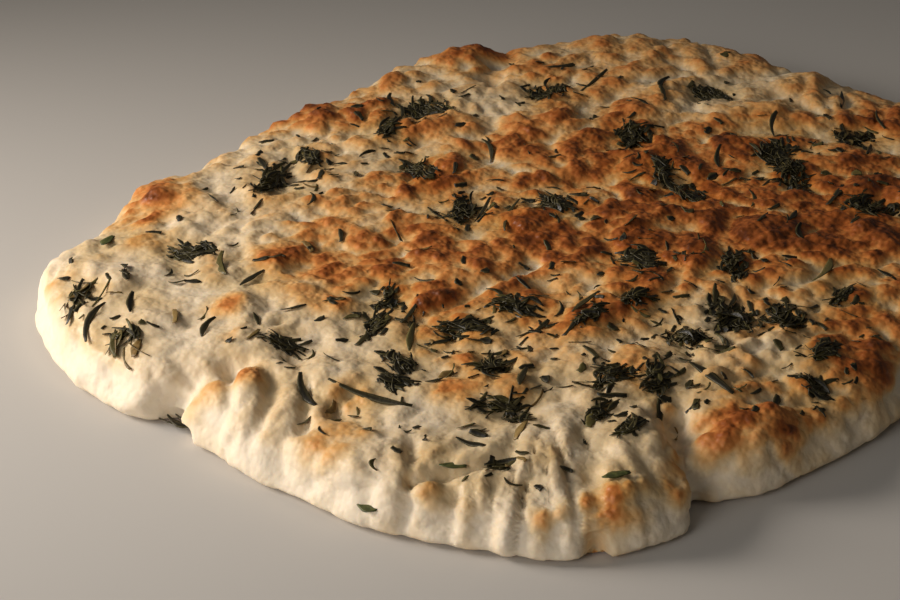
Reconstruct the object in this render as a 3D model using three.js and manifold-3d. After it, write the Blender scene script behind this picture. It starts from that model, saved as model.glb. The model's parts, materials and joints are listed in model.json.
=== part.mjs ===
// Focaccia: one flat, hand-stretched loaf baked whole, with baked rosemary and thyme lying on its crust.
// Millimetres, +Z up. The origin is on the ground under the middle of the loaf. +X is the loaf's long way
// and -Y is the side with the long pressed-down fold.
import * as THREE from "three";
import Module from "manifold-3d";

const wasm = await Module();
wasm.setup();

// ---- Driving dimensions ----
const CRUST_HEIGHT = 23.5; // crust over the middle of the loaf, before its lumps and hollows
const RIM_DROP = 3.2; // how much lower the crust is where it turns down into the wall
const SHOULDER_INSET = 13; // how far in from the outline the top begins to turn down
const LUMP_HEIGHT = 1.1; // rise and fall of the soft lumps all over the crust
const RINGS = 26; // rings of facets from the middle out to the shoulder
const LEAF_GAP = 0.4; // air between a leaf and the crust facets below it
const LEAF_THICKNESS = 1.1;

// The wall from the ground up: how far in from the outline, and what share of the shoulder's height.
const WALL = [
  { inset: 3.6, share: 0 },
  { inset: 1.0, share: 0.1 },
  { inset: 0, share: 0.3 },
  { inset: 0.7, share: 0.54 },
  { inset: 3.0, share: 0.76 },
  { inset: 7.2, share: 0.92 },
];

// ---- Outline of the loaf seen from above, anticlockwise ----
const OUTLINE = [
  [-186, 59], [-184, 45], [-178, 38], [-183, 31], [-185, 10], [-187, -20], [-186, -48], [-179, -76],
  [-167, -104], [-159, -119], [-149, -127], [-136, -134], [-126, -138], [-115, -137], [-106, -132],
  [-97, -137], [-86, -145], [-61, -150], [-36, -154], [-5, -154], [25, -153], [60, -150], [100, -143],
  [135, -128], [160, -105], [176, -78], [184, -50], [187, -25], [187, 8], [185, 40], [185, 70], [178, 90],
  [160, 110], [140, 120], [124, 123], [120, 138], [104, 149], [80, 155], [35, 157], [-10, 157], [-51, 154],
  [-88, 154], [-105, 148], [-118, 143], [-138, 142], [-154, 134], [-168, 118], [-177, 101], [-183, 83],
];

const outline = new THREE.CatmullRomCurve3(
  OUTLINE.map(([x, y]) => new THREE.Vector3(x, y, 0)),
  true,
  "centripetal",
);
outline.arcLengthDivisions = 2000;

// A point on the outline, moved straight in towards the middle.
function outlinePoint(turn, inset) {
  const point = outline.getPointAt(turn % 1);
  return point.multiplyScalar(1 - inset / point.length());
}

// ---- Lie of the crust ----
// Finger hollows: middle, radius and depth.
const HOLLOWS = [
  [-102, 35, 11, 2.6], [-142, 14, 13, 2.6], [-115, 98, 17, 2.4], [-113, 10, 11, 2], [-48, -30, 17, 3.2],
  [-93, 12, 11, 2.6], [-127, -67, 13, 2.2], [-107, -46, 12, 2.2], [-90, -82, 13, 2.4], [-92, -109, 10, 2.4],
  [-93, -120, 13, 3.8], [-20, -98, 20, 2.6], [50, -22, 15, 3.6], [98, -27, 15, 3], [-26, 36, 15, 2.6],
  [-8, 71, 15, 2.6], [-50, 109, 15, 2], [38, 106, 15, 2], [84, 80, 15, 2.2], [131, 26, 15, 2.2],
  [28, 18, 15, 2.8], [72, 24, 13, 2.4], [83, -82, 15, 2.6], [135, -42, 14, 2.2], [-158, -22, 9, 2.6],
  [10, -68, 13, 2], [-178, 38, 11, 3.4], [-174, -12, 13, 2], [-38, -58, 12, 1.8], [20, 63, 13, 1.8],
  [-116, -127, 10, 3.6],
];

// Risen humps, most of them along the rim: middle, radius and height.
const HUMPS = [
  [-161, -121, 12, 2.8], [-133, -120, 12, 2.6], [-70, -134, 16, 2.8], [-101, -131, 10, 2.4],
  [-174, 14, 15, 1.8], [-172, -40, 15, 2], [-176, 60, 14, 1.2], [-104, 133, 14, 1.8], [-80, 138, 16, 1.8],
  [12, 142, 18, 2.2], [60, 140, 18, 1.8], [98, 130, 15, 2.4], [120, 106, 16, 1.6], [150, 92, 16, 1.8],
  [165, 10, 18, 1.8], [-70, 5, 22, 1.8], [-50, 80, 20, 1.4], [10, -20, 22, 2], [60, 50, 20, 1.6],
  [-130, 55, 18, 1.4], [-140, -45, 16, 1.4], [-40, -125, 16, 1.6], [30, -120, 20, 1.8], [95, -110, 20, 1.6],
];

// Pinched folds near the rim: where each runs from and to, its half width and its depth.
const FOLDS = [
  [-184, -64, -150, -92, 6, 1.8],
  [-178, -82, -146, -104, 5, 2],
  [-172, -96, -138, -112, 5, 2],
  [-152, -124, -128, -108, 6, 2.6],
  [-116, -134, -92, -112, 7, 2.6],
  [-88, -122, -44, -143, 5, 1.8],
  [82, 107, 122, 130, 7, 4.2],
  [-184, 38, -160, 24, 7, 1.8],
  [-164, -22, -150, -21, 5, 2],
  [-100, -6, -40, -10, 6, 1.6],
];

// Rounded falloff: 1 at the middle, 0 from the edge outwards.
function swell(distance, radius) {
  const closeness = Math.max(0, 1 - (distance / radius) ** 2);
  return closeness * closeness;
}

function distanceToSegment(x, y, x0, y0, x1, y1) {
  const length2 = (x1 - x0) ** 2 + (y1 - y0) ** 2;
  const along = ((x - x0) * (x1 - x0) + (y - y0) * (y1 - y0)) / length2;
  const nearest = Math.min(1, Math.max(0, along));
  return Math.hypot(x - x0 - nearest * (x1 - x0), y - y0 - nearest * (y1 - y0));
}

// Soft lumps left by gas in the dough, from four crossing waves.
function lumps(x, y) {
  const broad = Math.sin(x / 9.1 + 1.3) * Math.cos(y / 8.3 - 0.4);
  const slanting = Math.sin((x + y) / 11.7 + 2.1) + Math.cos((x - 1.4 * y) / 7.3);
  return LUMP_HEIGHT * (0.5 * broad + 0.25 * slanting);
}

// Height of the crust at a point, where reach is 0 over the middle and 1 at the shoulder.
function crustHeight(x, y, reach) {
  let height = CRUST_HEIGHT - RIM_DROP * reach ** 6 + lumps(x, y);
  for (const [hx, hy, radius, depth] of HOLLOWS) {
    height -= depth * swell(Math.hypot(x - hx, y - hy), radius);
  }
  for (const [hx, hy, radius, rise] of HUMPS) {
    height += rise * swell(Math.hypot(x - hx, y - hy), radius);
  }
  for (const [x0, y0, x1, y1, halfWidth, depth] of FOLDS) {
    height -= depth * swell(distanceToSegment(x, y, x0, y0, x1, y1), halfWidth);
  }
  return height;
}

// ---- The loaf: rings of facets over the top, the wall, and a flat underside ----
const points = [new THREE.Vector3(0, 0, crustHeight(0, 0, 0))];
const triangles = [];

// Ring r has 6r corners, so the facets are all about the same size.
const ringStart = (r) => (r === 0 ? 0 : 1 + 3 * r * (r - 1));
for (let r = 1; r <= RINGS; r += 1) {
  const reach = r / RINGS;
  for (let i = 0; i < 6 * r; i += 1) {
    const point = outlinePoint(i / (6 * r), SHOULDER_INSET).multiplyScalar(reach);
    point.z = crustHeight(point.x, point.y, reach);
    points.push(point);
  }
}
for (let r = 1; r <= RINGS; r += 1) {
  const outer = (k) => ringStart(r) + (k % (6 * r));
  const inner = (k) => (r === 1 ? 0 : ringStart(r - 1) + (k % (6 * (r - 1))));
  for (let sector = 0; sector < 6; sector += 1) {
    for (let j = 0; j < r; j += 1) {
      const k = sector * r + j;
      const m = sector * (r - 1) + j;
      triangles.push(outer(k), outer(k + 1), inner(m));
      if (j < r - 1) {
        triangles.push(outer(k + 1), inner(m + 1), inner(m));
      }
    }
  }
}

const around = 6 * RINGS;
const shoulderStart = ringStart(RINGS);
let above = shoulderStart;
for (const level of [...WALL].reverse()) {
  const start = points.length;
  for (let i = 0; i < around; i += 1) {
    const point = outlinePoint(i / around, level.inset);
    point.z = level.share * points[shoulderStart + i].z;
    points.push(point);
  }
  for (let i = 0; i < around; i += 1) {
    const next = (i + 1) % around;
    triangles.push(above + i, start + i, start + next);
    triangles.push(above + i, start + next, above + next);
  }
  above = start;
}

const underside = points.length;
points.push(new THREE.Vector3(0, 0, 0));
for (let i = 0; i < around; i += 1) {
  triangles.push(underside, above + ((i + 1) % around), above + i);
}

function solidGeometry(corners, indices) {
  const geometry = new THREE.BufferGeometry();
  geometry.setAttribute("position", new THREE.Float32BufferAttribute(corners, 3));
  geometry.setIndex(indices);
  geometry.computeVertexNormals();
  return geometry;
}

const crust = new THREE.MeshStandardMaterial({ color: 0xd9a66a, roughness: 0.6, metalness: 0 });
const loaf = new THREE.Mesh(solidGeometry(points.flatMap((p) => p.toArray()), triangles), crust);
loaf.name = "loaf";

const focaccia = new THREE.Group();
focaccia.name = "focaccia";
focaccia.add(loaf);

// ---- Leaves, each laid over the crust facets below it ----
const crustFacets = [];
for (let t = 0; t < triangles.length; t += 3) {
  const [a, b, c] = triangles.slice(t, t + 3).map((index) => points[index]);
  const doubleArea = (b.x - a.x) * (c.y - a.y) - (c.x - a.x) * (b.y - a.y);
  if (doubleArea > 1e-6) {
    crustFacets.push({ a, b, c, doubleArea });
  }
}

// Height of the crust's facets at a point.
function facetHeight(x, y) {
  let highest = 0;
  for (const { a, b, c, doubleArea } of crustFacets) {
    const toC = ((b.x - a.x) * (y - a.y) - (x - a.x) * (b.y - a.y)) / doubleArea;
    const toB = ((x - a.x) * (c.y - a.y) - (c.x - a.x) * (y - a.y)) / doubleArea;
    if (toB >= -1e-9 && toC >= -1e-9 && toB + toC <= 1 + 1e-9) {
      highest = Math.max(highest, a.z + toB * (b.z - a.z) + toC * (c.z - a.z));
    }
  }
  return highest;
}

// One leaf as a solid: pointed at both ends, with a four-sided section. The bow curves it sideways.
function leafSolid(x, y, length, heading, width, bow) {
  const angle = THREE.MathUtils.degToRad(heading);
  const along = new THREE.Vector2(Math.cos(angle), Math.sin(angle));
  const across = new THREE.Vector2(-along.y, along.x);
  const steps = Math.max(4, Math.round(length / 5));
  const spine = [];
  for (let s = 0; s <= steps; s += 1) {
    const share = s / steps;
    const rise = Math.sin(Math.PI * share);
    const forward = (share - 0.5) * length;
    const sideways = bow * (rise - 0.6);
    const half = (width / 2) * rise ** 0.5;
    const at = (offset) => [
      x + forward * along.x + (sideways + offset) * across.x,
      y + forward * along.y + (sideways + offset) * across.y,
    ];
    const lanes = [at(-half), at(0), at(half)];
    const base = Math.max(...lanes.map(([px, py]) => facetHeight(px, py))) + LEAF_GAP;
    spine.push({ lanes, base });
  }

  // Lift neighbouring steps wherever a crust edge would come up between them.
  for (let s = 0; s < steps; s += 1) {
    const here = spine[s];
    const next = spine[s + 1];
    let shortfall = 0;
    for (const share of [0.2, 0.4, 0.6, 0.8]) {
      for (let lane = 0; lane < 3; lane += 1) {
        const px = THREE.MathUtils.lerp(here.lanes[lane][0], next.lanes[lane][0], share);
        const py = THREE.MathUtils.lerp(here.lanes[lane][1], next.lanes[lane][1], share);
        const base = THREE.MathUtils.lerp(here.base, next.base, share);
        shortfall = Math.max(shortfall, facetHeight(px, py) + LEAF_GAP - base);
      }
    }
    here.base += shortfall;
    next.base += shortfall;
  }

  const corners = [];
  const faces = [];
  const middle = LEAF_THICKNESS * 0.4;
  corners.push(...spine[0].lanes[1], spine[0].base + middle);
  for (let s = 1; s < steps; s += 1) {
    const [left, centre, right] = spine[s].lanes;
    const base = spine[s].base;
    corners.push(...centre, base);
    corners.push(...left, base + middle);
    corners.push(...centre, base + LEAF_THICKNESS);
    corners.push(...right, base + middle);
  }
  corners.push(...spine[steps].lanes[1], spine[steps].base + middle);
  const tip = corners.length / 3 - 1;
  for (let side = 0; side < 4; side += 1) {
    const nextSide = (side + 1) % 4;
    faces.push(0, 1 + side, 1 + nextSide);
    faces.push(tip, tip - 4 + nextSide, tip - 4 + side);
    for (let s = 1; s < steps - 1; s += 1) {
      const near = 1 + 4 * (s - 1);
      const far = near + 4;
      faces.push(near + side, far + side, far + nextSide);
      faces.push(near + side, far + nextSide, near + nextSide);
    }
  }
  const mesh = new wasm.Mesh({
    numProp: 3,
    vertProperties: new Float32Array(corners),
    triVerts: new Uint32Array(faces),
  });
  return new wasm.Manifold(mesh);
}

const rosemaryGreen = { color: 0x2b2f1d, roughness: 0.55, metalness: 0 };
const thymeGreen = { color: 0x4d5a30, roughness: 0.6, metalness: 0 };

// Adds one herb node made of the given leaf solids joined into one body.
function addHerb(name, leaves, look) {
  const joined = leaves.reduce((whole, leaf) => whole.add(leaf));
  const { vertProperties, triVerts } = joined.getMesh();
  const geometry = solidGeometry(Array.from(vertProperties), Array.from(triVerts));
  const herb = new THREE.Mesh(geometry, new THREE.MeshStandardMaterial(look));
  herb.name = name;
  focaccia.add(herb);
}

const numbered = (name, index) => `${name}_${String(index + 1).padStart(2, "0")}`;

// Lone rosemary leaves: middle, length, heading in degrees, width and sideways bow.
const LONE_LEAVES = [
  [-170, 86, 22, 28, 3.2, 1],
  [-155, 83, 15, 42, 3.2, 0],
  [-115, 75, 16, 47, 3.2, 0],
  [-116, 60, 16, 10, 3.6, 0],
  [-159, -7, 18, 58, 3, -2.5],
  [-148, -26, 33, -80, 3.4, -2],
  [-111, -13, 20, 35, 2.8, 1.5],
  [-109, -61, 14, 28, 2.8, 0],
  [-55, -47, 20, 8, 3.2, 1],
  [-68, -110, 24, 73, 3.4, -2],
  [23, -97, 25, 17, 3.2, 1],
  [-16, 18, 30, 28, 3.4, -1],
  [119, -14, 25, 27, 3.2, -1],
];
LONE_LEAVES.forEach(([x, y, length, heading, width, bow], index) => {
  const leaf = leafSolid(x, y, length, heading, width, bow);
  addHerb(numbered("rosemary_leaf", index), [leaf], rosemaryGreen);
});

// Thyme leaves, short and broad: middle, length and heading in degrees.
const THYME_LEAVES = [
  [-127, 125, 9, 20],
  [-161, -73, 9, -50],
  [-134, -119, 10, -28],
];
THYME_LEAVES.forEach(([x, y, length, heading], index) => {
  addHerb(numbered("thyme_leaf", index), [leafSolid(x, y, length, heading, 4.4, 0)], thymeGreen);
});

// Tufts of rosemary leaves baked together: middle, leaf count, leaf length, heading and fan in degrees.
// The leaves cross close to the tuft's middle, so that each tuft is one piece.
const TUFTS = [
  [-115, 97, 5, 23, 20, 160],
  [-161, 103, 4, 20, 35, 60],
  [-174, 69, 4, 16, 50, 140],
  [-142, 21, 4, 15, 0, 160],
  [-94, 13, 3, 14, 20, 70],
  [-109, 4, 3, 17, 15, 50],
  [-138, -26, 3, 13, -50, 110],
  [-127, -19, 4, 14, 0, 170],
  [-94, -22, 4, 20, -30, 90],
  [-108, -47, 4, 22, 20, 90],
  [-127, -66, 4, 18, -45, 120],
  [-150, -86, 3, 12, 10, 120],
  [-109, -94, 3, 16, 5, 40],
  [-110, -107, 3, 12, -20, 60],
  [-91, -81, 4, 17, -20, 120],
  [-79, -95, 4, 18, 20, 100],
  [-72, -27, 4, 18, -75, 110],
  [-65, -54, 3, 20, 0, 40],
  [-38, -58, 3, 15, 0, 60],
  [-50, -87, 4, 18, 25, 110],
  [-27, -90, 5, 24, 30, 110],
  [-17, -104, 5, 24, 10, 110],
  [8, -69, 4, 22, 25, 80],
  [-13, -42, 4, 20, -60, 100],
  [-44, -136, 3, 13, -60, 110],
  [-27, -130, 4, 24, 18, 40],
  [12, -111, 3, 16, 15, 60],
  [46, -23, 4, 22, 60, 90],
  [54, -2, 4, 20, 50, 80],
  [98, -27, 4, 24, 30, 100],
  [84, -44, 4, 24, 25, 80],
  [134, -42, 4, 20, 30, 90],
  [82, -82, 4, 22, 20, 110],
  [-51, 110, 5, 25, 15, 90],
  [-26, 113, 4, 18, 60, 70],
  [14, 107, 4, 22, 20, 60],
  [38, 108, 4, 25, 60, 110],
  [85, 80, 4, 22, 25, 90],
  [131, 27, 4, 19, 60, 110],
  [70, 24, 4, 22, 25, 80],
  [-8, 70, 4, 24, 60, 90],
  [-24, 35, 4, 26, 35, 90],
  [5, 13, 4, 17, 70, 110],
];
TUFTS.forEach(([x, y, count, length, heading, fan], index) => {
  const leaves = [];
  for (let leaf = 0; leaf < count; leaf += 1) {
    const spread = leaf / (count - 1) - 0.5;
    const own = length * (0.82 + 0.18 * Math.cos(2.4 * leaf + index));
    const turned = heading + fan * spread;
    const shift = 0.16 * own * Math.sin(2.1 * leaf + index);
    const radians = THREE.MathUtils.degToRad(turned);
    const bow = 1.2 * Math.sin(1.7 * leaf + index);
    const middleX = x + shift * Math.cos(radians);
    const middleY = y + shift * Math.sin(radians);
    leaves.push(leafSolid(middleX, middleY, own, turned, 3, bow));
  }
  addHerb(numbered("rosemary_tuft", index), leaves, rosemaryGreen);
});

export default focaccia;
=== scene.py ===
"""A whole focaccia with baked rosemary and thyme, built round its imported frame."""

import json
import math
import random

import bpy
import numpy as np
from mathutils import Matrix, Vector, noise
from mathutils.bvhtree import BVHTree

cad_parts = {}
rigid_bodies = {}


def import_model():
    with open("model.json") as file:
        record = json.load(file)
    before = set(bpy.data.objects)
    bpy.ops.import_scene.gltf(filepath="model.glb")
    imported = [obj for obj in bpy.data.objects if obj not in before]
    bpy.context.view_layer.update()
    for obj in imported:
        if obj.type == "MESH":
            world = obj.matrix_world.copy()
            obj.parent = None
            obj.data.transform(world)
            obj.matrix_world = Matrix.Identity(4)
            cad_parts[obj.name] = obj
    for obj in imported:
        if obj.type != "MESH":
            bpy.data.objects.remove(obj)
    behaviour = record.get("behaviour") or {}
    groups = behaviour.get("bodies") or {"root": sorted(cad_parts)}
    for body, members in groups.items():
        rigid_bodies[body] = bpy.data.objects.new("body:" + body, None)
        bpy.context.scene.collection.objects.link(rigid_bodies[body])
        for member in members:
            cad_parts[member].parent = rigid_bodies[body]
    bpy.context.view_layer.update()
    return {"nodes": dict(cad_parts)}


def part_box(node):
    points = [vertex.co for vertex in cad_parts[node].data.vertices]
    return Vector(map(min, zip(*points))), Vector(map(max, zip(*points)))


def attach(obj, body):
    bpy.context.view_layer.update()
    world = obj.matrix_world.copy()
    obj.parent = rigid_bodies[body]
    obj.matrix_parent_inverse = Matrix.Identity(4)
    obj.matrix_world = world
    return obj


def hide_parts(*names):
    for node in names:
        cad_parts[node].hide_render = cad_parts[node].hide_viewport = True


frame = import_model()

# ---- The loaf ----
# One flat piece of wheat dough, stretched by hand, pressed with the fingertips and baked whole.
# Its skin is pale where the dough is thick and damp, golden to brown on every hump and where it is thin,
# and oily in the hollows. Pinched folds run in from the rim, where the dough was pulled out to the sheet.

# Sizes and places are written in millimetres, and MM turns them to metres.
MM = 0.001
cad_loaf = frame["nodes"]["loaf"]


def new_piece(name, mesh):
    """Links a mesh to the scene as an object at the origin."""
    piece = bpy.data.objects.new(name, mesh)
    bpy.context.scene.collection.objects.link(piece)
    return piece


def settled_mesh(piece):
    """The piece's mesh with its modifiers taken in, and the modifiers removed."""
    evaluated = piece.evaluated_get(bpy.context.evaluated_depsgraph_get())
    mesh = bpy.data.meshes.new_from_object(evaluated)
    piece.modifiers.clear()
    piece.data = mesh
    return mesh


def smooth_shading(mesh):
    """Shades every face of the mesh smooth."""
    mesh.polygons.foreach_set("use_smooth", np.ones(len(mesh.polygons), dtype=bool))


loaf = new_piece("loaf_crust", cad_loaf.data.copy())
loaf.data.materials.clear()
weld = loaf.modifiers.new("weld", "WELD")
weld.merge_threshold = 0.01 * MM
refine = loaf.modifiers.new("refine", "SUBSURF")
refine.levels = refine.render_levels = 2
dough = settled_mesh(loaf)


def read_vectors(mesh, source, name):
    """A mesh's vertex vectors, such as co or normal, as rows of numbers."""
    rows = np.empty(3 * len(source))
    source.foreach_get(name, rows)
    return rows.reshape(-1, 3)


def lumps(points, size, seed, basis="PERLIN_ORIGINAL"):
    """Noise from about -1 to 1, with lumps of about one size across. A seed moves it to another place."""
    shifted = points / size + 17.31 * seed
    return np.array([noise.noise(point, noise_basis=basis) for point in shifted.tolist()])


def swell(distance, radius):
    """Rounded falloff: 1 at the middle, 0 from the edge outwards."""
    closeness = np.clip(1 - (distance / radius) ** 2, 0, 1)
    return closeness * closeness


def flat_distance(points, x, y):
    """Each point's distance from a place, seen from above."""
    return np.hypot(points[:, 0] - x, points[:, 1] - y)


# Width and height in millimetres of the skin's own lumps, from broad pillows down to fine grain.
# Creases run between them, and the crisp middle and right are rougher and more blistered than the left end.
PILLOW_WIDTH, PILLOW_HEIGHT = 30, 4.4
DIMPLE_WIDTH, DIMPLE_HEIGHT = 14, 3.2
KNOB_WIDTH, KNOB_HEIGHT = 8.5, 2.7
GRAIN_WIDTH, GRAIN_HEIGHT = 3.8, 0.35
BLISTER_WIDTH, SMALL_BLISTER_WIDTH, BLISTER_HEIGHT = 7.5, 4.6, 1.3
SOFT_END, SOFT_LENGTH = -150, 60
spots = read_vectors(dough, dough.vertices, "co") / MM
normals = read_vectors(dough, dough.vertex_normals, "vector")
on_wall = 1 - np.clip((normals[:, 2] - 0.35) / 0.4, 0, 1)
on_top = 1 - on_wall
drift = 7 * np.stack([lumps(spots, 34, seed) for seed in (11, 12, 13)], axis=1)
pillows = PILLOW_HEIGHT * (np.abs(lumps(spots + drift, PILLOW_WIDTH, 1)) - 0.22)
dimples = DIMPLE_HEIGHT * (np.abs(lumps(spots + drift, DIMPLE_WIDTH, 2)) - 0.22)
knobs = KNOB_HEIGHT * (np.abs(lumps(spots + 0.5 * drift, KNOB_WIDTH, 3)) - 0.2)
grain = GRAIN_HEIGHT * lumps(spots, GRAIN_WIDTH, 4)
from_bubble = 0.5 + 0.5 * lumps(spots + 0.4 * drift, BLISTER_WIDTH, 15, "VORONOI_F1")
from_small_bubble = 0.5 + 0.5 * lumps(spots + 0.4 * drift, SMALL_BLISTER_WIDTH, 17, "VORONOI_F1")
crisp = np.clip((spots[:, 0] - SOFT_END) / SOFT_LENGTH, 0.25, 1) * (0.4 + 0.6 * on_top)
blistered = np.clip(0.6 + 1.6 * lumps(spots, 28, 16), 0.15, 1) * crisp
blisters = (swell(from_bubble, 0.62) + 0.45 * swell(from_small_bubble, 0.62)) * blistered
rise = pillows + dimples * (0.6 + 0.4 * crisp) + (knobs + grain) * (0.45 + 0.55 * crisp)
rise += BLISTER_HEIGHT * blisters


def crease(value, width):
    """A narrow crease, 1 deep, along the places where a smooth value passes zero."""
    return np.exp(-((value / width) ** 2))


# Wrinkles that fan out towards the near corner, and shallower ones all round the wall.
FAN_MIDDLE = (-92, -58)
FAN_DIRECTION = math.radians(215)
FAN_HALF_TURN = 0.75
FAN_RING, FAN_HALF_LENGTH = 72, 42
FAN_CREASE, FINE_FAN_CREASE, WALL_CREASE, WALL_LUMP = 3.0, 1.6, 1.3, 0.7
from_fan = spots[:, :2] - FAN_MIDDLE
fan_reach = np.hypot(from_fan[:, 0], from_fan[:, 1])
fan_turn = (np.arctan2(from_fan[:, 1], from_fan[:, 0]) - FAN_DIRECTION + math.pi) % math.tau - math.pi
fan_places = np.stack([fan_turn * 78, fan_reach / 4.2, 0 * fan_reach], axis=1)
in_fan = swell(fan_turn, FAN_HALF_TURN) * swell(fan_reach - FAN_RING, FAN_HALF_LENGTH)
rise -= FAN_CREASE * in_fan * crease(lumps(fan_places + 0.3 * drift, 11, 21), 0.13)
rise -= FINE_FAN_CREASE * in_fan * crease(lumps(fan_places + 0.3 * drift, 6.5, 22), 0.16)
around = np.arctan2(spots[:, 1], spots[:, 0])
wall_places = np.stack([around * 150, spots[:, 2] * 0.45, np.hypot(spots[:, 0], spots[:, 1]) * 0.3], axis=1)
rise -= WALL_CREASE * on_wall * crease(lumps(wall_places + 0.8 * drift, 17, 23), 0.12)
rise += WALL_LUMP * on_wall * lumps(wall_places + 0.8 * drift, 8, 24)

# Folds pinched into the skin, each a line of points, its half width and its depth.
FOLDS = [
    ([(-110, -134), (-101, -124), (-90, -112)], 6.0, 2.6),
    ([(-92, -121), (-72, -128), (-58, -138), (-40, -144)], 3.0, 0.9),
    ([(-186, 38), (-174, 31), (-160, 22)], 7.0, 2.2),
    ([(-166, -23), (-158, -21), (-150, -21)], 3.0, 1.6),
    ([(-180, -3), (-170, 2), (-162, 9)], 4.5, 2.4),
    ([(-178, 14), (-172, 19), (-163, 27)], 4.0, 2.2),
    ([(-177, -20), (-168, -13), (-158, -5)], 3.5, 1.8),
    ([(-180, -69), (-171, -64), (-160, -56)], 3.5, 2.0),
    ([(-100, -6), (-70, -9), (-40, -10)], 4.0, 1.4),
    ([(84, 108), (100, 118), (122, 131)], 7.0, 1.2),
    ([(-174, -66), (-160, -77), (-148, -84)], 3.0, 2.6),
]


def line_distance(points, line):
    """Each point's distance from a line of places, seen from above."""
    nearest = np.full(len(points), np.inf)
    for (x0, y0), (x1, y1) in zip(line, line[1:]):
        run = np.array([x1 - x0, y1 - y0])
        offset = points[:, :2] - (x0, y0)
        share = np.clip(offset @ run / (run @ run), 0, 1)
        nearest = np.minimum(nearest, np.linalg.norm(offset - share[:, None] * run, axis=1))
    return nearest


for line, half_width, depth in FOLDS:
    away = line_distance(spots + drift * 0.5, line)
    rise += 0.3 * depth * swell(away - 1.7 * half_width, 1.6 * half_width)
    rise -= depth * swell(away, half_width)
above_sheet = np.clip(spots[:, 2] / 6, 0, 1)
flat_spots = spots.copy()
spots += normals * (rise * above_sheet)[:, None]
spots[:, 2] = np.maximum(spots[:, 2], 0)

# The foot of the wall spreads out where the dough settled on the sheet.
FOOT_SPREAD = 3.2
outward = spots[:, :2] / np.linalg.norm(spots[:, :2], axis=1)[:, None]
foot = np.clip((10 - flat_spots[:, 2]) / 7, 0, 1) * np.clip(np.linalg.norm(normals[:, :2], axis=1) * 2, 0, 1)
spots[:, :2] += (FOOT_SPREAD * foot)[:, None] * outward

# Gaps under the rim, where the crust stands off the sheet: place, half width, height and depth.
TUCKS = [(-187, 33, 8.0, 7.0, 12.0), (-154, -127, 4.0, 12.0, 8.0), (-111, -135, 7.0, 7.0, 6.0)]
for x, y, half_width, height, depth in TUCKS:
    inward = -np.array([x, y]) / math.hypot(x, y)
    gap = swell(flat_distance(spots, x, y), 1.6 * half_width) * np.clip((height - flat_spots[:, 2]) / 3, 0, 1)
    spots[:, :2] += (depth * gap)[:, None] * inward
dough.vertices.foreach_set("co", (spots * MM).ravel())
dough.update()
smooth_shading(dough)

# Where the oven browned the crust: middle, radius and strength of each broad patch. The patches on the near
# right, from x 30 to 140 and y -50 to -95, are partly browning and partly painted shade that darkens that
# side as if it lay in shade.
BROWNED_AND_SHADED = [
    (0, 0, 75, 0.38), (40, -25, 58, 0.42), (-80, 30, 38, 0.36), (-92, 55, 22, 0.20),
    (-95, -30, 32, 0.18), (-118, -45, 22, 0.15), (85, -85, 40, 0.32), (55, -70, 40, 0.12),
    (-118, 112, 11, 0.35), (-104, 134, 13, 0.45), (-85, 140, 16, 0.35), (-137, 54, 8, 0.28),
    (-176, 23, 8, 0.30), (-166, 14, 8, 0.30), (-192, 29, 7, 0.30), (-170, -32, 11, 0.35),
    (-153, -22, 10, 0.28), (15, 145, 26, 0.35), (98, 130, 18, 0.22), (-148, -122, 9, 0.60),
    (-160, -111, 6, 0.45), (-136, -127, 9, 0.30), (-100, -136, 17, 0.24), (-60, -142, 20, 0.40),
    (-10, -140, 28, 0.45), (35, -128, 22, 0.40), (-60, 85, 26, 0.10), (90, 10, 40, 0.12),
    (40, 60, 60, 0.10), (-40, -95, 50, 0.10), (120, 60, 60, 0.10), (20, 100, 70, 0.10),
    (-162, -60, 12, 0.12), (80, -50, 45, 0.26), (140, -50, 34, 0.30), (110, -90, 22, 0.35),
    (30, -95, 40, 0.30), (-100, -12, 20, 0.20), (-50, -28, 42, 0.22), (-18, -6, 22, 0.30),
    (-20, 70, 18, 0.18), (105, -10, 26, 0.20), (-170, -76, 7, 0.25), (-172, -92, 7, 0.32),
    (-124, -131, 8, 0.32), (-181, -33, 8, 0.28), (-165, -36, 9, 0.25), (-131, -46, 8, 0.25),
    (-109, -131, 7, 0.35), (-79, -128, 8, 0.35), (-73, -150, 7, 0.45), (-90, 28, 26, 0.06),
    (-76, 70, 10, 0.20),
]
# Paler dough in the deep dimples: middle and radius.
PALE = [
    (-42, -34, 15), (25, 10, 10), (-117, 4, 16), (-33, -111, 18), (-34, -82, 14), (120, 20, 30),
    (-105, 36, 9), (60, 92, 30), (-138, 104, 14),
]
# Tops brown more than walls, and the hot right-hand end more than the left.
baked_and_shaded = 0.01 + 0.06 * on_top + 0.14 * np.clip((spots[:, 0] + 110) / 160, 0, 1)
for x, y, radius, strength in BROWNED_AND_SHADED:
    baked_and_shaded += strength * swell(flat_distance(spots, x, y), 1.5 * radius)
for x, y, radius in PALE:
    baked_and_shaded *= 1 - 0.65 * swell(flat_distance(spots + drift, x, y), 1.5 * radius)
proud = np.clip(rise / 2.2, -1, 1)
mottle = 0.65 * lumps(spots, 18, 5) + 0.5 * lumps(spots, 9, 6) + 0.25 * lumps(spots, 4, 7)
spotted = np.clip(lumps(spots + drift, 20, 8) - 0.22, 0, 1)
browning_and_shade = baked_and_shaded * (0.85 + 0.85 * proud + 0.4 * mottle + 0.3 * blisters)
browning_and_shade += 0.55 * spotted * (0.6 + proud) + 0.05 * mottle
browning_and_shade = np.minimum(browning_and_shade, 0.85 + 0.15 * browning_and_shade)
browning_and_shade *= np.clip((spots[:, 2] + 6 * lumps(spots, 15, 9) - 6) / 11, 0.3, 1)
browning_and_shade = np.clip(browning_and_shade, 0, 0.9)

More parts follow.
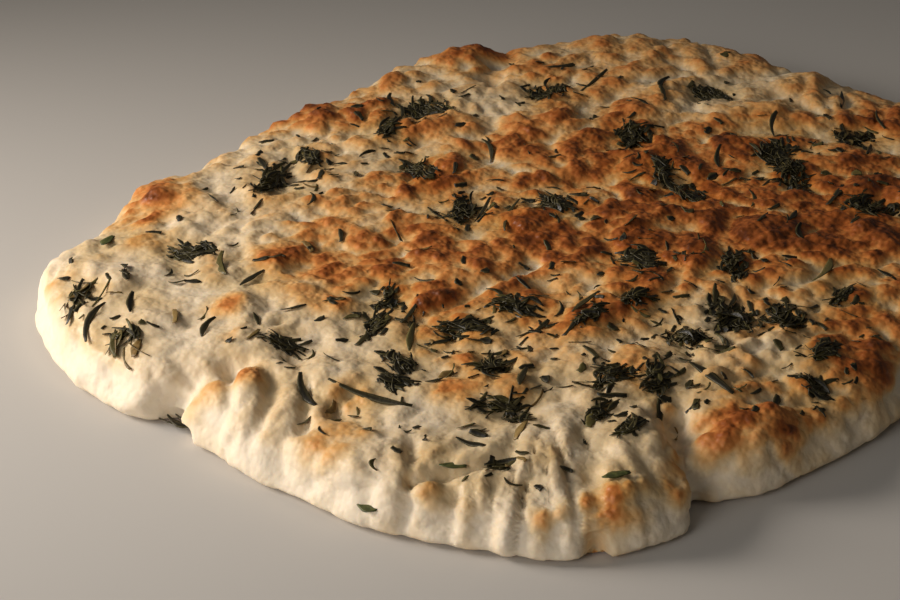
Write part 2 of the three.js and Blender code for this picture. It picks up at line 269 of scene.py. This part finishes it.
# Oil pooled round the herbs, which wets and yellows the crust.
OIL_RADIUS = 24
herb_middles = [(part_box(name)[0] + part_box(name)[1]) / 2 / MM for name in frame["nodes"] if name != "loaf"]
oil = np.zeros(len(spots))
for middle in herb_middles:
    reach = flat_distance(spots + drift, middle[0], middle[1])
    oil = np.maximum(oil, swell(reach, OIL_RADIUS))
oil = np.clip((0.25 + oil) * (0.9 - 0.5 * proud + 0.5 * lumps(spots, 12, 10)) * on_top, 0, 1)
browning_and_shade *= 1 - 0.35 * oil
underneath = np.clip((-normals[:, 2] - 0.5) / 0.3, 0, 1) * (flat_spots[:, 2] < 1)


def paint(mesh, name, values):
    """Keeps one number for each vertex as a named attribute."""
    layer = mesh.attributes.new(name, "FLOAT", "POINT")
    layer.data.foreach_set("value", values.astype(np.float32))


# Browning, with the painted shade on the near right in it.
paint(dough, "browning_and_shade", browning_and_shade)
paint(dough, "underneath", underneath)
paint(dough, "oil", oil)


def linear(hex_colour):
    """An sRGB hex colour as linear red, green, blue and full alpha."""
    channels = [int(hex_colour[i : i + 2], 16) / 255 for i in (0, 2, 4)]
    return [c / 12.92 if c <= 0.04045 else ((c + 0.055) / 1.055) ** 2.4 for c in channels] + [1.0]


def add_node(tree, kind, links=None, **settings):
    """Adds a node, sets what is named, and fills or links its inputs."""
    made = tree.nodes.new(kind)
    for name, value in settings.items():
        setattr(made, name, value)
    for key, value in (links or {}).items():
        if isinstance(value, bpy.types.NodeSocket):
            tree.links.new(value, made.inputs[key])
        else:
            made.inputs[key].default_value = value
    return made


def new_material(name):
    """An empty node material, its tree, and its Principled shader linked to the output."""
    material = bpy.data.materials.new(name)
    material.use_nodes = True
    tree = material.node_tree
    tree.nodes.clear()
    shader = add_node(tree, "ShaderNodeBsdfPrincipled")
    add_node(tree, "ShaderNodeOutputMaterial", {"Surface": shader.outputs["BSDF"]})
    return material, tree, shader


def blend_colours(tree, kind, factor, first, second):
    """Mixes two colours, each a socket or linear values, and returns the result's socket."""
    made = add_node(
        tree, "ShaderNodeMix", {0: factor, 6: first, 7: second}, data_type="RGBA", blend_type=kind)
    return made.outputs[2]


def sum_of(tree, first, second, scale=1.0):
    """first + scale * second, each a socket or a number, as a socket."""
    made = add_node(tree, "ShaderNodeMath", {0: second, 1: scale, 2: first}, operation="MULTIPLY_ADD")
    return made.outputs["Value"]


def fine_noise(tree, places, cell, detail=1.5):
    """Noise from 0 to 1 with cells of one size in metres."""
    made = add_node(tree, "ShaderNodeTexNoise", {"Vector": places, "Scale": 1 / cell, "Detail": detail})
    return made.outputs["Fac"]


def set_ramp(ramp_node, stops):
    """Gives a colour ramp its places and hex colours."""
    elements = ramp_node.color_ramp.elements
    while len(elements) < len(stops):
        elements.new(0.5)
    for element, (place, colour) in zip(elements, stops):
        element.position = place
        element.color = linear(colour)


# Baked wheat crust under olive oil: soft broken gloss, tiny bubbles, and light that soaks in a little.
# The small bubbles are about 2.6 mm across and the freckles about 2 mm, as on a real crust. They show more
# where it is browned, and the underside has broad toasted marks from the sheet.
BUBBLE = 2.6 * MM
FRECKLE = 1.9 * MM
crust, tree, shader = new_material("baked_oiled_wheat_crust")
places = add_node(tree, "ShaderNodeTexCoord").outputs["Object"]
# Browning, with the painted shade on the near right in it.
browned_and_shaded = add_node(tree, "ShaderNodeAttribute", attribute_name="browning_and_shade").outputs["Fac"]
below = add_node(tree, "ShaderNodeAttribute", attribute_name="underneath").outputs["Fac"]
freckles = fine_noise(tree, places, FRECKLE)
patches = fine_noise(tree, places, 4 * FRECKLE)
speckle = sum_of(tree, sum_of(tree, -0.5, freckles, 0.25), patches, 0.75)
depth_of_tone = sum_of(tree, 0.07, browned_and_shaded, 0.75)
uneven = add_node(tree, "ShaderNodeMath", {0: speckle, 1: depth_of_tone}, operation="MULTIPLY")
top_tone = sum_of(tree, browned_and_shaded, uneven.outputs["Value"], 1.5)
sheet_marks = sum_of(tree, 0.25, fine_noise(tree, places, 14 * MM, 4.0), 0.7)
whole_tone = add_node(tree, "ShaderNodeMix", {0: below, 2: top_tone, 3: sheet_marks}).outputs[0]
tone = add_node(tree, "ShaderNodeValToRGB", {"Fac": whole_tone})
set_ramp(tone, [
    (0.0, "EADAC0"), (0.12, "E2C79C"), (0.3, "DBA96A"), (0.5, "CA8242"), (0.74, "9A5422"), (1.0, "5A2C0E"),
])
oiled = add_node(tree, "ShaderNodeAttribute", attribute_name="oil").outputs["Fac"]
wet = sum_of(tree, 0.0, oiled, 0.55)
coloured = blend_colours(tree, "MULTIPLY", wet, tone.outputs["Color"], linear("E2CB90"))
tree.links.new(coloured, shader.inputs["Base Color"])
bubbles = add_node(tree, "ShaderNodeTexVoronoi", {"Vector": places, "Scale": 1 / BUBBLE, "Smoothness": 0.6},
                   feature="SMOOTH_F1").outputs["Distance"]
surface = sum_of(tree, sum_of(tree, 0.0, freckles, 0.3), bubbles, sum_of(tree, -0.45, browned_and_shaded, -1.3))
bump = add_node(tree, "ShaderNodeBump", {"Height": surface, "Distance": 0.6 * MM, "Strength": 1.0})
tree.links.new(bump.outputs["Normal"], shader.inputs["Normal"])
tree.links.new(bump.outputs["Normal"], shader.inputs["Coat Normal"])
gloss = sum_of(tree, sum_of(tree, 0.7, browned_and_shaded, -0.1), oiled, -0.2)
tree.links.new(sum_of(tree, gloss, patches, -0.2), shader.inputs["Roughness"])
shader.inputs["Specular IOR Level"].default_value = 0.24
shader.inputs["Coat Weight"].default_value = 0.03
shader.inputs["Coat Roughness"].default_value = 0.25
shader.inputs["Subsurface Weight"].default_value = 0.12
shader.inputs["Subsurface Radius"].default_value = (0.003, 0.0018, 0.0009)
shader.inputs["Subsurface Scale"].default_value = 1.0
dough.materials.append(crust)

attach(loaf, "root")
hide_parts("loaf")

# ---- Whole rosemary leaves ----
# Fresh rosemary needles, tossed in oil and strewn over the dough before baking with the chopped ones.
# A whole one is a stiff rolled leaf that dried dark and glossy, curled a little and stuck to the skin.

NEEDLE_THICKNESS = 0.5
# One cut through a needle, with its width and height from -1 to 1.
# Its edges roll under and a groove runs along the top.
NEEDLE_SECTION = [
    (-1, -0.3), (-0.6, 0.45), (0, 0.1), (0.6, 0.45),
    (1, -0.3), (0.6, -0.6), (0, -0.35), (-0.6, -0.6),
]
# Kinds of needle: length, width, sideways bend, lift of the tip, twist in degrees, and bluntness of the ends.
NEEDLE_KINDS = [
    (15, 2.3, 0.4, 0.2, 15, 0.15),
    (14, 2.1, 2.2, 0.4, 25, 0.15),
    (13, 2.5, -1.6, 1.0, 35, 0.25),
    (9, 2.3, 0.4, 0.3, 20, 0.70),
    (7, 3.6, -0.6, 0.3, 25, 0.45),
    (12, 1.4, 1.0, 0.6, 60, 0.30),
    (3.4, 1.5, 0.2, 0.2, 20, 0.50),
    (14, 0.8, 1.2, 0.5, 0, 0.90),
]
FULL_NEEDLES, CHOPPED, BROAD, THIN, CRUMB, STALK = (0, 1, 2), 3, 4, 5, 6, 7


def leaf_shape(name, length, width, bend, lift, twist, blunt, stations=6):
    """One small closed leaf along X, in metres, with its margin marked for the material.

    It narrows to both ends, with a slight wave in its outline, and bows, twists and lifts along its length.
    """
    points = []
    for i in range(stations + 1):
        along = i / stations
        fullness = blunt + (1 - blunt) * math.sin(math.pi * (0.06 + 0.9 * along)) ** 0.8
        fullness *= 1 + 0.16 * math.sin(9 * along + 5 * bend)
        bow = 4 * along * (1 - along)
        turn = math.radians(twist) * (along - 0.5)
        for across, up in NEEDLE_SECTION:
            side = across * fullness * width / 2
            height = up * NEEDLE_THICKNESS / 2
            y = side * math.cos(turn) - height * math.sin(turn) - bend * bow
            z = side * math.sin(turn) + height * math.cos(turn) + lift * along * along
            points.append(((along - 0.5) * length * MM, y * MM, z * MM))
    ring = len(NEEDLE_SECTION)
    faces = [tuple(reversed(range(ring))), tuple(range(stations * ring, (stations + 1) * ring))]
    for i in range(stations):
        for j in range(ring):
            k = (j + 1) % ring
            faces.append((i * ring + j, i * ring + k, (i + 1) * ring + k, (i + 1) * ring + j))
    mesh = bpy.data.meshes.new(name)
    mesh.from_pydata(points, [], faces)
    margin = np.tile([abs(across) for across, up in NEEDLE_SECTION], stations + 1)
    paint(mesh, "margin", margin)
    smooth_shading(mesh)
    return bpy.data.objects.new(name, mesh)


def shape_collection(name, shapes):
    """Puts leaf shapes in a collection that Geometry Nodes can pick from."""
    group = bpy.data.collections.new(name)
    bpy.context.scene.collection.children.link(group)
    for shape in shapes:
        group.objects.link(shape)
    return group


needles = shape_collection(
    "needle_shapes", [leaf_shape(f"needle_{i}", *kind) for i, kind in enumerate(NEEDLE_KINDS)])


def leaves_on_crust():
    """A Geometry Nodes tree: picks a leaf for each point, then lays every leaf down on the crust."""
    tree = bpy.data.node_groups.new("leaves_on_crust", "GeometryNodeTree")
    for name, kind in [("Points", "Geometry"), ("Leaf shapes", "Collection"), ("Crust", "Object"),
                       ("Ray start height", "Float"), ("Evening steps", "Int"), ("Material", "Material")]:
        tree.interface.new_socket(name=name, in_out="INPUT", socket_type="NodeSocket" + kind)
    tree.interface.new_socket(name="Leaves", in_out="OUTPUT", socket_type="NodeSocketGeometry")
    given = add_node(tree, "NodeGroupInput").outputs
    picked = add_node(tree, "GeometryNodeCollectionInfo", {
        "Collection": given["Leaf shapes"], "Separate Children": True, "Reset Children": True})
    which = add_node(tree, "GeometryNodeInputNamedAttribute", {"Name": "kind"}, data_type="INT")
    turn = add_node(tree, "GeometryNodeInputNamedAttribute", {"Name": "turn"}, data_type="FLOAT_VECTOR")
    size = add_node(tree, "GeometryNodeInputNamedAttribute", {"Name": "size"}, data_type="FLOAT_VECTOR")
    rotation = add_node(tree, "FunctionNodeEulerToRotation", {"Euler": turn.outputs["Attribute"]})
    strewn = add_node(tree, "GeometryNodeInstanceOnPoints", {
        "Points": given["Points"], "Instance": picked.outputs["Instances"], "Pick Instance": True,
        "Instance Index": which.outputs["Attribute"], "Rotation": rotation.outputs["Rotation"],
        "Scale": size.outputs["Attribute"]})
    real = add_node(tree, "GeometryNodeRealizeInstances", {"Geometry": strewn.outputs["Instances"]})
    place = add_node(tree, "ShaderNodeSeparateXYZ", {
        "Vector": add_node(tree, "GeometryNodeInputPosition").outputs["Position"]}).outputs
    above = add_node(tree, "ShaderNodeCombineXYZ", {
        "X": place["X"], "Y": place["Y"], "Z": given["Ray start height"]}).outputs["Vector"]
    below = add_node(tree, "GeometryNodeObjectInfo", {"Object": given["Crust"]}).outputs["Geometry"]
    hit = add_node(tree, "GeometryNodeRaycast", {
        "Target Geometry": below, "Source Position": above, "Ray Direction": (0, 0, -1), "Ray Length": 1.0})
    height = add_node(tree, "ShaderNodeSeparateXYZ", {"Vector": hit.outputs["Hit Position"]}).outputs["Z"]
    even = add_node(tree, "GeometryNodeBlurAttribute", {
        "Value": height, "Iterations": given["Evening steps"]}, data_type="FLOAT").outputs["Value"]
    lift = add_node(tree, "ShaderNodeCombineXYZ", {"Z": even}).outputs["Vector"]
    laid = add_node(tree, "GeometryNodeSetPosition", {"Geometry": real.outputs["Geometry"], "Offset": lift})
    finished = add_node(tree, "GeometryNodeSetMaterial", {
        "Geometry": laid.outputs["Geometry"], "Material": given["Material"]})
    add_node(tree, "NodeGroupOutput", {"Leaves": finished.outputs["Geometry"]})
    return tree


laying = leaves_on_crust()

# Rosemary after baking: black-green and glossy with oil on top, grey felt rolled along the margins,
# some needles dried to olive or brown. Its streaks are about 1 mm apart, like the needle's veins.
rosemary, tree, shader = new_material("oiled_baked_rosemary_needle")
places = add_node(tree, "ShaderNodeTexCoord").outputs["Object"]
shade = add_node(tree, "ShaderNodeAttribute", attribute_name="shade").outputs["Fac"]
margin = add_node(tree, "ShaderNodeAttribute", attribute_name="margin").outputs["Fac"]
streaks = fine_noise(tree, places, 1.0 * MM)
tone = add_node(tree, "ShaderNodeValToRGB", {"Fac": sum_of(tree, sum_of(tree, -0.12, streaks, 0.24), shade)})
set_ramp(tone, [
    (0.0, "0D0B06"), (0.3, "1B170B"), (0.55, "332D15"), (0.72, "5A522A"), (0.86, "70532A"), (1.0, "957A48"),
])
felt = sum_of(tree, -0.12, margin, 0.55)
coloured = blend_colours(tree, "MIX", felt, tone.outputs["Color"], linear("6A6034"))
tree.links.new(coloured, shader.inputs["Base Color"])
tree.links.new(sum_of(tree, 0.3, streaks, 0.3), shader.inputs["Roughness"])
shader.inputs["Specular IOR Level"].default_value = 0.34
veins = add_node(tree, "ShaderNodeBump", {"Height": streaks, "Distance": 0.25 * MM, "Strength": 0.7})
tree.links.new(veins.outputs["Normal"], shader.inputs["Normal"])


def strewn_leaves(name, leaves, shapes, material, replaced=(), ray_start=60, evening=5):
    """Makes one piece from a row for each leaf.

    A row holds x, y, height, heading, pitch, roll, length scale, width scale, kind and shade. The crust is
    looked for downwards from ray_start, and its height is smoothed along each leaf as often as evening says.
    """
    x, y, height, heading, pitch, roll, stretch, fullness, kinds, shades = np.array(leaves, dtype=float).T
    mesh = bpy.data.meshes.new(name)
    mesh.from_pydata(np.stack([x, y, height], axis=1) * MM, [], [])
    vectors = {
        "turn": np.radians([roll, pitch, heading]).T,
        "size": np.stack([stretch, fullness, 0.5 + 0.5 * fullness], axis=1),
    }
    for key, rows in vectors.items():
        layer = mesh.attributes.new(key, "FLOAT_VECTOR", "POINT")
        layer.data.foreach_set("vector", rows.ravel())
    layer = mesh.attributes.new("kind", "INT", "POINT")
    layer.data.foreach_set("value", kinds.astype(int))
    paint(mesh, "shade", shades)
    piece = new_piece(name, mesh)
    modifier = piece.modifiers.new("leaves", "NODES")
    modifier.node_group = laying
    inputs = {
        "Leaf shapes": shapes, "Crust": loaf, "Ray start height": ray_start * MM,
        "Evening steps": evening, "Material": material}
    for item in laying.interface.items_tree:
        if item.in_out == "INPUT" and item.name in inputs:
            modifier[item.identifier] = inputs[item.name]
    settled_mesh(piece)
    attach(piece, "root")
    if replaced:
        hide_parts(*replaced)


def footprint(node):
    """A CAD leaf or tuft seen from above: middle, heading in degrees, length and width in millimetres."""
    points = read_vectors(node.data, node.data.vertices, "co")[:, :2] / MM
    middle = points.mean(axis=0)
    axes = np.linalg.eigh(np.cov((points - middle).T))[1]
    along = (points - middle) @ axes
    width, length = np.ptp(along, axis=0)
    heading = math.degrees(math.atan2(axes[1, 1], axes[0, 1]))
    return middle[0], middle[1], heading, length, width


# One needle for each CAD leaf, in its place and length. Short ones are drawn wider.
SHORT_LEAF = 25
rng = random.Random(7)
herb_nodes = [name for name in sorted(frame["nodes"]) if name != "loaf"]
for name in herb_nodes:
    if not name.startswith("rosemary_leaf"):
        continue
    x, y, heading, length, width = footprint(frame["nodes"][name])
    kind = rng.choice(FULL_NEEDLES)
    row = (x, y, 0.9, heading, rng.uniform(-4, 4), rng.uniform(-25, 25), length / NEEDLE_KINDS[kind][0],
           1.0 if length > SHORT_LEAF else 1.25, kind, rng.choice([0.25, 0.4, 0.55, 0.7]))
    strewn_leaves(name + "_baked", [row], needles, rosemary, [name], evening=12)

# ---- Rosemary tufts ----
# The tips of the sprigs, chopped through, matted with oil and baked onto the crust as dark clumps.
# A tuft is a pile of needles gathered in a few knots, with a longer one here and there. Those at the left
# rim are looser: fewer leaves, but whole and lighter ones.

LEAVES_PER_MM2 = 0.23
KNOTS_PER_TUFT = 5
KNOT_SPREAD = 0.14
LEFT_RIM = -150
MATTED_KINDS = [*FULL_NEEDLES, CHOPPED, CHOPPED, BROAD, BROAD, THIN, CRUMB]
LOOSE_KINDS = [1, 2, CHOPPED, BROAD, BROAD, THIN]


def nudged(middle, limit):
    """A place near the middle of a knot, as a share of the tuft's size, kept inside a limit."""
    return min(limit, max(-limit, middle + rng.gauss(0, KNOT_SPREAD)))


for name in herb_nodes:
    if not name.startswith("rosemary_tuft"):
        continue
    x, y, heading, length, width = footprint(frame["nodes"][name])
    facing = math.radians(heading)
    loose = x < LEFT_RIM
    kinds, density, mean_shade = (LOOSE_KINDS, 0.24, 0.45) if loose else (MATTED_KINDS, 1, 0.14)
    knots = [(rng.uniform(-0.3, 0.3), rng.uniform(-0.26, 0.26)) for knot in range(KNOTS_PER_TUFT)]
    rows = []
    for i in range(5 + round(LEAVES_PER_MM2 * density * length * width)):
        knot = rng.choice(knots)
        run = nudged(knot[0], 0.48)
        side = nudged(knot[1], 0.46)
        reach = min(0.49, math.hypot(run, side))
        run *= length
        side *= width
        leaf_x = x + run * math.cos(facing) - side * math.sin(facing)
        leaf_y = y + run * math.sin(facing) + side * math.cos(facing)
        kind = rng.choice(kinds)
        scale = rng.uniform(0.85, 1.1) if loose or rng.random() < 0.07 else rng.uniform(0.35, 0.75)
        height = 0.2 + rng.uniform(0, 1.2) * (1 - 1.9 * reach)
        shade = min(0.95, abs(rng.gauss(mean_shade, 0.25)))
        rows.append((leaf_x, leaf_y, height, heading + rng.gauss(0, 32), rng.gauss(0, 4), rng.gauss(0, 22),
                     scale, rng.uniform(0.5, 1.0), kind, shade))
    strewn_leaves(name + "_baked", rows, needles, rosemary, [name])

# ---- Chopped rosemary ----
# Single needles cut short by the knife, each stuck flat to the oily crust where it fell.
# Those on the pale left stayed lighter.

# Both ends of each needle, seen from above.
CHOPPED_NEEDLES = [
    (-174, 97, -157, 110), (-138, 106, -142, 100), (-142, 100, -146, 94), (-80, 113, -78, 120),
    (-135, 84, -131, 80), (-131, 80, -129, 74), (-106, 69, -103, 64), (-103, 64, -99, 61),
    (-156, 46, -146, 50), (-148, 56, -141, 59), (-126, 36, -119, 31), (-139, 35, -135, 41),
    (-150, 30, -143, 31), (-155, 11, -149, 15), (-143, 9, -137, 11), (-116, 15, -112, 11),
    (-112, 2, -100, 6), (-129, 7, -126, 4), (-127, -1, -119, 1), (-106, -3, -94, 0),
    (-84, 102, -78, 105), (-173, -15, -168, -17), (-139, -27, -134, -33), (-131, -36, -127, -40),
    (-116, -40, -110, -49), (-122, -55, -108, -50), (-145, -62, -139, -64), (-113, -67, -108, -68),
    (-155, -90, -154, -96), (-101, -87, -95, -94), (-83, -73, -80, -65), (-95, -108, -88, -103),
    (-78, -94, -70, -89), (-86, -40, -79, -43), (-80, -43, -72, -43), (-67, -42, -59, -38),
    (-57, -23, -55, -15), (-62, -27, -59, -33), (-41, -20, -36, -17), (-77, -54, -66, -52),
    (-66, -55, -53, -52), (-42, -79, -37, -72), (-52, -94, -47, -103), (35, -121, 38, -112),
    (-22, -35, -17, -30), (0, -54, 13, -48), (36, -60, 47, -57), (-22, -80, -13, -74),
    (40, -78, 46, -73), (38, -68, 48, -65), (48, -66, 58, -63), (51, -47, 60, -40), (41, -31, 43, -22),
    (45, -16, 52, -5), (51, -6, 57, 5), (72, -18, 84, -10), (145, -50, 158, -38), (153, -24, 168, -15),
    (118, -58, 131, -52), (70, -70, 88, -65), (27, 112, 35, 121), (33, 120, 42, 130), (103, 92, 119, 90),
    (96, 69, 118, 73), (107, 34, 115, 42), (114, 41, 125, 45), (60, 20, 82, 27), (30, 46, 40, 60),
    (-68, 105, -60, 112), (-45, 121, -40, 129), (-78, 97, -66, 101), (-60, 84, -54, 88),
    (-73, 55, -68, 60), (-58, 38, -50, 50), (-35, 35, -29, 49), (-32, 31, -20, 42), (-28, 28, -10, 34),
    (20, 58, 30, 70), (-111, -19, -104, -24), (-36, -99, -33, -96), (-166, -24, -163, -26),
    (-159, -26, -159, -30), (-156, -46, -156, -51), (-166, -38, -166, -42), (-175, -52, -178, -55),
    (-149, -65, -148, -76), (-143, -85, -143, -90), (-141, -101, -139, -105), (-118, -105, -106, -110),
    (-117, -109, -107, -107), (-168, -53, -168, -57),
]


def along_line(x0, y0, x1, y1, kind, width, shade, height=0.4):
    """A leaf row that reaches from one place to another."""
    length = math.hypot(x1 - x0, y1 - y0)
    heading = math.degrees(math.atan2(y1 - y0, x1 - x0))
    return ((x0 + x1) / 2, (y0 + y1) / 2, height, heading, rng.gauss(0, 3), rng.gauss(0, 20),
            1.1 * length / NEEDLE_KINDS[kind][0], width, kind, shade)


PALE_LEFT = -115
rows = []
for line in CHOPPED_NEEDLES:
    kind = rng.choice([0, 1, 2, CHOPPED, CHOPPED])
    mean_shade = 0.42 if line[0] < PALE_LEFT else 0.2
    shade = min(0.85, abs(rng.gauss(mean_shade, 0.2)))
    rows.append(along_line(*line, kind, rng.uniform(0.75, 1.1), shade))
strewn_leaves("chopped_rosemary", rows, needles, rosemary)

# ---- Dried rosemary ----
# Older leaves that dried brown or grey-green in the oven, lying loose on the crust.
# They are broader or paler than the rest.

DRY_LEAVES = [
    (-180, 66, -173, 74), (-178, 58, -171, 62), (-156, 60, -149, 67), (-86, 58, -84, 64),
    (-166, -18, -156, -16), (-137, -80, -129, -78), (-117, -95, -109, -93), (-110, -93, -101, -92),
    (-62, 32, -57, 24), (-147, -92, -146, -88), (3, -57, 11, -52), (-126, -38, -120, -39),
]
rows = [along_line(*line, rng.choice([1, CHOPPED, BROAD]), rng.uniform(0.7, 1.2), rng.uniform(0.7, 0.98))
        for line in DRY_LEAVES]
strewn_leaves("dry_rosemary", rows, needles, rosemary)

# ---- Rosemary stalks ----
# Bare leaf stalks, thin, brown and curved, that came off the sprigs when they were chopped.
# They lie on the pale left and the near side.

STALKS = [
    (-171, 93, -150, 100), (-176, 65, -182, 56), (-174, 64, -176, 53), (-120, -71, -110, -70),
    (-124, -39, -117, -37), (-77, -111, -70, -111), (-69, -121, -64, -122), (-95, -115, -90, -111),
    (-127, 84, -124, 80),
]
rows = [along_line(*line, STALK, 1.0, rng.uniform(0.5, 0.95)) for line in STALKS]
strewn_leaves("rosemary_stalks", rows, needles, rosemary)

# ---- Leaves under the rim ----
# Whole leaves caught in the gap under the left rim when the dough was laid on its sheet.
# They are piled on the sheet, each a little higher than the last.

TUCKED = [(-182, 42, -177, 29), (-180, 40, -176, 28), (-178, 38, -174, 28), (-182, 37, -177, 27)]
rows = [along_line(*line, 1, 1.2, 0.2, 1.4 + 0.8 * i) for i, line in enumerate(TUCKED)]
strewn_leaves("tucked_rosemary", rows, needles, rosemary, ray_start=3)

# ---- Rosemary crumbs ----
# Crumbs and short cut ends from the chopping board, stuck to the oily crust all over.
# They lie thickest near the tufts, fewer on the pale left and none on the walls.

CRUMB_COUNT = 700
LEFT_SHARE = 0.35
TOP_OF_CRUST = 17
CRUMB_KINDS = [CRUMB, CRUMB, CHOPPED, CHOPPED, BROAD, THIN]
crust_tree = BVHTree.FromObject(loaf, bpy.context.evaluated_depsgraph_get())


def crust_height_at(x, y):
    """Height of the crust over a place in millimetres, or 0 outside the loaf."""
    hit = crust_tree.ray_cast(Vector((x * MM, y * MM, 60 * MM)), Vector((0, 0, -1)))[0]
    return hit.z / MM if hit else 0


rows = []
tuft_names = [name for name in herb_nodes if name.startswith("rosemary_tuft")]
tuft_places = [footprint(frame["nodes"][name])[:2] for name in tuft_names]
for i in range(CRUMB_COUNT):
    x, y = rng.choice(tuft_places)
    spread = rng.choice([9, 16, 22])
    x += rng.gauss(0, spread)
    y += rng.gauss(0, spread)
    kind = rng.choice(CRUMB_KINDS)
    scale = rng.uniform(0.5, 1.5) if kind == CRUMB else rng.uniform(0.3, 0.75)
    wanted = x > PALE_LEFT or rng.random() < LEFT_SHARE
    if wanted and crust_height_at(x, y) > TOP_OF_CRUST:
        shade = min(0.95, abs(rng.gauss(0.25, 0.25)))
        rows.append((x, y, 0.3, rng.uniform(0, 360), rng.gauss(0, 6), rng.gauss(0, 20), scale,
                     rng.uniform(0.6, 1.1), kind, shade))
strewn_leaves("rosemary_crumbs", rows, needles, rosemary)

# ---- Thyme leaves ----
# A few short oval thyme leaves from the same chopped herbs, still green after baking.
# They are thin and flat, with a shallow groove, and lie by themselves near the rim.

# Length, width, sideways bend, lift of the tip, twist in degrees, and how blunt both ends are.
THYME_KIND = (9, 4.4, 0.5, 0.6, 12, 0.15)
thyme_shapes = shape_collection("thyme_shapes", [leaf_shape("thyme_0", *THYME_KIND)])
# Thyme after baking: dull green with a paler margin, and mottled every 1.4 mm or so where it crisped.
thyme, tree, shader = new_material("baked_green_thyme_leaf")
places = add_node(tree, "ShaderNodeTexCoord").outputs["Object"]
margin = add_node(tree, "ShaderNodeAttribute", attribute_name="margin").outputs["Fac"]
mottles = fine_noise(tree, places, 1.4 * MM)
tone = add_node(tree, "ShaderNodeValToRGB", {"Fac": mottles})
set_ramp(tone, [(0.3, "2B3312"), (0.55, "434A1E"), (0.8, "5F602E")])
coloured = blend_colours(tree, "MIX", sum_of(tree, 0.0, margin, 0.3), tone.outputs["Color"], linear("74703C"))
tree.links.new(coloured, shader.inputs["Base Color"])
tree.links.new(sum_of(tree, 0.4, mottles, 0.2), shader.inputs["Roughness"])
veins = add_node(tree, "ShaderNodeBump", {"Height": mottles, "Distance": 0.2 * MM, "Strength": 0.6})
tree.links.new(veins.outputs["Normal"], shader.inputs["Normal"])
for name in herb_nodes:
    if not name.startswith("thyme_leaf"):
        continue
    x, y, heading, length, width = footprint(frame["nodes"][name])
    row = (x, y, 1.2, heading, rng.uniform(-4, 4), rng.uniform(-12, 12), length / THYME_KIND[0], 1.0, 0, 0.5)
    strewn_leaves(name + "_baked", [row], thyme_shapes, thyme, [name], evening=24)

# One more has slid down over the near left rim and stuck to the wall.
slid_leaf = (-185.0, -57, 0.8, -85, 0, 0, 0.85, 1.0, 0, 0.5)
strewn_leaves("slid_thyme_leaf", [slid_leaf], thyme_shapes, thyme, evening=24)

for group in (needles, thyme_shapes):
    for shape in list(group.objects):
        bpy.data.objects.remove(shape)
    bpy.data.collections.remove(group)

# ---- Floor, light and camera ----
# A plain pale floor under the loaf. One broad soft light stands on the far left like a window, with a weaker
# one on the left as a fill, and the camera looks down at the near left corner.

FLOOR_REACH = 30
floor_corners = [(x * FLOOR_REACH, y * FLOOR_REACH, 0) for x, y in [(-1, -1), (1, -1), (1, 1), (-1, 1)]]
floor_mesh = bpy.data.meshes.new("floor")
floor_mesh.from_pydata(floor_corners, [], [(0, 1, 2, 3)])
floor = new_piece("floor", floor_mesh)
floor_paint, tree, shader = new_material("pale_floor")
shader.inputs["Base Color"].default_value = linear("C9C4BC")
shader.inputs["Roughness"].default_value = 0.7
floor_mesh.materials.append(floor_paint)


def aimed(location, target):
    """A turn that points an object's -Z from one place at another."""
    return (Vector(target) - Vector(location)).to_track_quat("-Z", "Y")


def soft_light(name, location, target, width, height, spread, power, colour):
    """A rectangular soft light aimed at a place, with its beam narrowed to some degrees."""
    data = bpy.data.lights.new(name, "AREA")
    data.shape = "RECTANGLE"
    data.size = width
    data.size_y = height
    data.spread = math.radians(spread)
    data.energy = power
    data.color = linear(colour)[:3]
    lamp = bpy.data.objects.new(name, data)
    lamp.location = location
    lamp.rotation_mode = "QUATERNION"
    lamp.rotation_quaternion = aimed(location, target)
    bpy.context.scene.collection.objects.link(lamp)


soft_light("window", (-0.50, 0.64, 0.35), (-0.14, 0.06, 0), 0.42, 0.34, 60, 1.1, "FFF6EE")
soft_light("fill", (-1.0, -0.02, 0.40), (-0.24, -0.02, 0), 0.6, 0.4, 60, 0.45, "FFFBF8")

# Weak even light from all round.
world = bpy.data.worlds.new("studio")
world.use_nodes = True
world.node_tree.nodes["Background"].inputs["Color"].default_value = linear("F4F0EA")
world.node_tree.nodes["Background"].inputs["Strength"].default_value = 0.085
bpy.context.scene.world = world
bpy.context.scene.view_settings.view_transform = "Standard"

camera_data = bpy.data.cameras.new("camera")
camera_data.lens = 100
camera_data.sensor_width = 36
camera_data.clip_start = 0.05
camera = bpy.data.objects.new("camera", camera_data)
camera.location = (-0.688, -0.511, 0.461)
camera.rotation_mode = "QUATERNION"
camera.rotation_quaternion = Vector((0.672, 0.560, -0.485)).to_track_quat("-Z", "Y")
bpy.context.scene.collection.objects.link(camera)
bpy.context.scene.camera = camera
